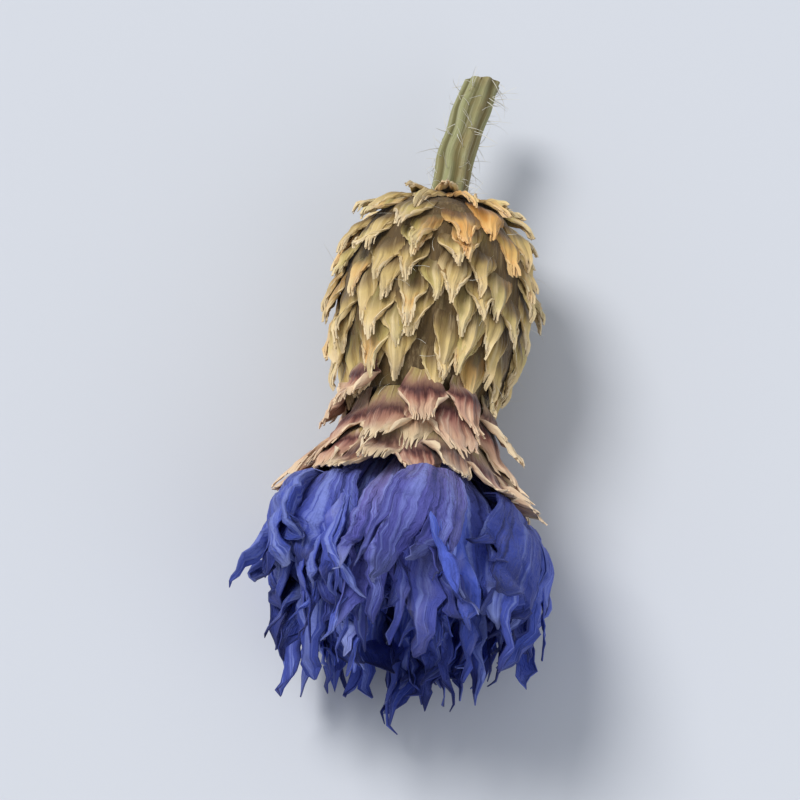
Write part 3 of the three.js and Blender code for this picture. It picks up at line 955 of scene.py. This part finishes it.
def make_ray_florets(material):
    pile = Pile()
    sheets = [Sheet(lobes, columns=5, rows=38, notch=0.80, plain=(0.18, 0.36)) for lobes in RAY_LOBE_COUNTS]
    for index in range(RAY_FLORETS):
        ray_floret(sheets[index % len(sheets)], index, pile)
    piece = pile.piece("ray_florets_fine", thickness=0.05, seam=0.004)
    finish_piece(piece, "ray_florets", material, "ray_florets")


# Disc florets

DISC_FLORETS = 11
DISC_LOBES = 5
DISC_HEIGHTS = 17.9, 16.9  # of the middle floret's tip and of the outer ones'
DISC_LEANS = 0.22, 0.95  # how far the outer florets stand off from the axis, at the foot and at the tip
DISC_BELL = [0, 0.55, 0.7, 0.82, 1.0], [0.2, 0.22, 0.42, 0.44, 0.85]  # radius along the tube
DISC_PATTERN_RADIUS = 0.3
ANTHERS = [  # height from the floret's tip, and radius
    (-2.4, 0.10), (-1.6, 0.17), (-0.5, 0.16), (-0.15, 0.12), (0, 0.13), (0.2, 0.09), (0.3, 0.002)]


def disc_floret(sheet, index, pile):
    """A small tube that swells and opens into five lobes. Returns where its axis leans and how high it is."""
    share = math.sqrt((index + 0.4) / DISC_FLORETS)
    angle = index * GOLDEN_ANGLE
    high = mix(*DISC_HEIGHTS, share) + 0.5 * draw(index, 41)
    low = RAY_BASE + 0.2
    along, past = sheet.along, sheet.past
    z = mix(low, high - 1.1, along) + past * 0.15 * sheet.lobe_draws(index, 42)
    taper = 1 - 0.9 * past ** 1.2
    turn = (sheet.in_lobe * taper / DISC_LOBES + sheet.middle) * math.pi
    up = np.clip((z - low) / (high - low), 0, 1)
    lean = mix(*DISC_LEANS, up) * share
    places = around_axis(np.interp(along, *DISC_BELL), turn, z)
    places += np.stack([lean * math.cos(angle), lean * math.sin(angle), 0 * up], axis=-1)
    places = crumple(places, 1.6, 0.16 * along, 60)
    pile.add(sheet.faces, places, sheet.tube_pattern(DISC_PATTERN_RADIUS, z, index), along=along * 0.62,
             shade=draw_between(0, 1, index, 43))
    return angle, share, high


def anther_column(index, angle, share, high, pile):
    """The dark column that stands in a disc floret, coloured by the last part of the florets' ramp."""
    faces, places = shell_arrays(revolve([(high + z, radius) for z, radius in ANTHERS], 10))
    rise = places[:, 2] - high - ANTHERS[0][0]
    lean = DISC_LEANS[1] * share
    places[:, 0] += lean * math.cos(angle) + 0.16 * draw(index, 44) * rise
    places[:, 1] += lean * math.sin(angle) + 0.20 * draw(index, 45) * rise
    length = ANTHERS[-1][0] - ANTHERS[0][0]
    pile.add(faces, places, (places[:, 0], rise, places[:, 1]), along=0.7 + 0.3 * (rise / length) ** 3,
             shade=0.3)


def make_disc_florets(material):
    pile = Pile()
    sheet = Sheet(DISC_LOBES, columns=4, rows=16, notch=0.8)
    for index in range(DISC_FLORETS):
        angle, share, high = disc_floret(sheet, index, pile)
        anther_column(index, angle, share, high, pile)
    piece = pile.piece("disc_florets_fine", thickness=0.05, seam=0.004)
    finish_piece(piece, "disc_florets", material, "disc_florets")


# Stem

STEM_ROWS = 30
SIDES_OF_A_RIB = 8
GROOVE_DEPTH = 0.15  # as a share of the radius
STEM_CUT = [  # the cut face and its sunken pith: height from the stem's end, and radius
    (-0.02, 0.62), (0.1, 0.35), (0.16, 0.02)]


def stem_middle(z):
    """Middle of the stem at a height below the cup."""
    down = np.clip((STEM_TOP - z) / (STEM_TOP + STEM_LENGTH), 0, 1)
    return STEM_SWAY[0] * down ** 1.9, STEM_SWAY[1] * down ** 1.5


def make_stem(material):
    heights = np.linspace(STEM_TOP, -STEM_LENGTH, STEM_ROWS)
    profile = [(STEM_TOP, 0.3)] + [(z, STEM_RADIUS) for z in heights]
    profile += [(z - STEM_LENGTH, radius) for z, radius in STEM_CUT]
    faces, places = shell_arrays(revolve(profile, STEM_RIBS * SIDES_OF_A_RIB, "NGON"))
    z = places[:, 2]
    turn = np.arctan2(places[:, 1], places[:, 0])
    radius = np.hypot(places[:, 0], places[:, 1])
    ridge = 0.5 + 0.5 * np.cos(turn * STEM_RIBS + 0.4 * z)
    grooved = radius * (1 - GROOVE_DEPTH * (1 - ridge))
    x, y = stem_middle(z)
    along = (STEM_TOP - z) / (STEM_TOP + STEM_LENGTH)
    along = np.where(radius < STEM_RADIUS * 0.8, 1.0, np.minimum(along, 0.98))
    places = np.stack([grooved * np.cos(turn) + x, grooved * np.sin(turn) + y, z], axis=-1)
    places = crumple(places, 0.7, 0.12, 70)
    pile = Pile()
    own = np.cos(turn) * STEM_RADIUS, z, np.sin(turn) * STEM_RADIUS
    pile.add(faces, places, own, along=along, ridge=ridge)
    finish_piece(pile.piece("stem_fine"), "stem", material, "stem")


# Cobweb down on the stem and the cup

STEM_HAIRS = 150
CUP_HAIRS = 75
STEM_HAIR_RADIUS = 0.018
CUP_HAIR_RADIUS = 0.010
HAIR_STEPS = 6
HAIR_BEND = 0.45


def strand(root, way, length, radius, index, pile):
    """A curved three-sided hair."""
    bend = Vector((draw(index, 81), draw(index, 82), draw(index, 83)))
    side = way.orthogonal().normalized()
    other = way.cross(side)
    places, middle = [], root.copy()
    for step in range(HAIR_STEPS):
        thin = radius * (1 - 0.75 * step / (HAIR_STEPS - 1))
        for corner in range(3):
            turn = corner * 2 * math.pi / 3
            places.append(middle + (side * math.cos(turn) + other * math.sin(turn)) * thin)
        way = (way + bend * HAIR_BEND).normalized()
        middle = middle + way * length / (HAIR_STEPS - 1)
    last = 3 * (HAIR_STEPS - 1)
    faces = [[0, 2, 1], [last, last + 1, last + 2]]
    for ring in range(0, last, 3):
        for corner in range(3):
            a, b = ring + corner, ring + (corner + 1) % 3
            faces.append([a, b, b + 3, a + 3])
    places = np.array([tuple(p) for p in places])
    pile.add(faces, places, places.T)


def stem_hair(index, pile):
    z = draw_between(0.1, -STEM_LENGTH, index, 71)
    away = level_way(math.pi * draw(index, 72))
    root = Vector((*stem_middle(z), z)) + away * STEM_RADIUS * 0.9
    way = (away + Vector((0, 0, 0.8 * draw(index, 73)))).normalized()
    strand(root, way, draw_between(0.5, 1.3, index, 74), STEM_HAIR_RADIUS, index, pile)


def cup_hair(index, pile):
    z = draw_between(0.5, CUP_TOP + 1, index, 71)
    turn = math.pi * draw(index, 72)
    away, around = level_way(turn), level_way(turn + math.pi / 2)
    root = away * (float(CUP_SURFACE.radius_at(z)) + 0.35) + Vector((0, 0, z))
    way = (away * 0.6 + around * draw(index, 73) + Vector((0, 0, draw(index, 75)))).normalized()
    strand(root, way, draw_between(0.6, 1.5, index, 74), CUP_HAIR_RADIUS, index, pile)


def make_down(material):
    pile = Pile()
    for index in range(STEM_HAIRS):
        stem_hair(index, pile)
    for index in range(STEM_HAIRS, STEM_HAIRS + CUP_HAIRS):
        cup_hair(index, pile)
    finish_piece(pile.piece("cobweb_down"), "stem", material)


# Floor, light and camera, in metres

FLOOR_SIZE = 6
SKY_COLOR = (0.90, 0.94, 1.0, 1)
SKY_STRENGTH = 0.50
CAMERA_AZIMUTH = math.radians(7)
CAMERA_ELEVATION = math.radians(72)
CAMERA_DISTANCE = 0.42
CAMERA_TARGET = Vector((-0.0012, -0.0005, 0.0045))
CAMERA_LENS = 440
CAMERA_CLIP = 0.005, 20


def make_floor(material):
    deselect()
    bpy.ops.mesh.primitive_plane_add(size=FLOOR_SIZE, location=(0, 0, 0))
    board = bpy.context.object
    board.name = "floor"
    board.data.materials.append(material)


def soft_sun(name, place, softness, power, color):
    """A sun that shines from place to the origin. softness is its width in degrees."""
    light = bpy.data.lights.new(name, "SUN")
    light.angle = math.radians(softness)
    light.energy = power
    light.color = color
    lamp = bpy.data.objects.new(name, light)
    bpy.context.collection.objects.link(lamp)
    lamp.rotation_euler = (-Vector(place)).to_track_quat("-Z", "Y").to_euler()


def make_light():
    world = bpy.data.worlds.new("studio")
    bpy.context.scene.world = world
    world.use_nodes = True
    sky = world.node_tree.nodes["Background"]
    sky.inputs["Color"].default_value = SKY_COLOR
    sky.inputs["Strength"].default_value = SKY_STRENGTH
    soft_sun("window", place=(-0.28, 0.20, 0.42), softness=26, power=2.45, color=(1.0, 0.985, 0.96))
    soft_sun("fill", place=(0.35, -0.25, 0.35), softness=50, power=0.45, color=(0.93, 0.96, 1.0))


def make_camera():
    camera = bpy.data.cameras.new("camera")
    camera.lens = CAMERA_LENS
    camera.clip_start, camera.clip_end = CAMERA_CLIP
    eye = bpy.data.objects.new("camera", camera)
    bpy.context.collection.objects.link(eye)
    level = math.cos(CAMERA_ELEVATION)
    away = Vector((math.sin(CAMERA_AZIMUTH) * level, -math.cos(CAMERA_AZIMUTH) * level,
                   math.sin(CAMERA_ELEVATION)))
    eye.location = CAMERA_TARGET + away * CAMERA_DISTANCE
    eye.rotation_euler = (-away).to_track_quat("-Z", "Y").to_euler()
    bpy.context.scene.camera = eye
    bpy.context.scene.view_settings.view_transform = "Standard"


make_outer_bracts(make_material("straw bract", outer_bract_surface, roughness=0.62, relief=0.12, sheen=0.2))
make_inner_bracts(make_material("papery bract", inner_bract_surface, roughness=0.6, relief=0.1, sheen=0.2))
make_ray_florets(make_material("blue petal", ray_surface, roughness=0.6, relief=0.12, sheen=0.05))
make_disc_florets(make_material("violet petal", disc_floret_surface, roughness=0.65, relief=0.06))
make_stem(make_material("dried stem", stem_surface, roughness=0.75, relief=0.1))
make_down(make_material("cobweb hair", hair_surface, roughness=0.8, relief=0.01))
make_floor(make_material("pale board", floor_surface, roughness=0.85, relief=0.02))
make_light()
make_camera()
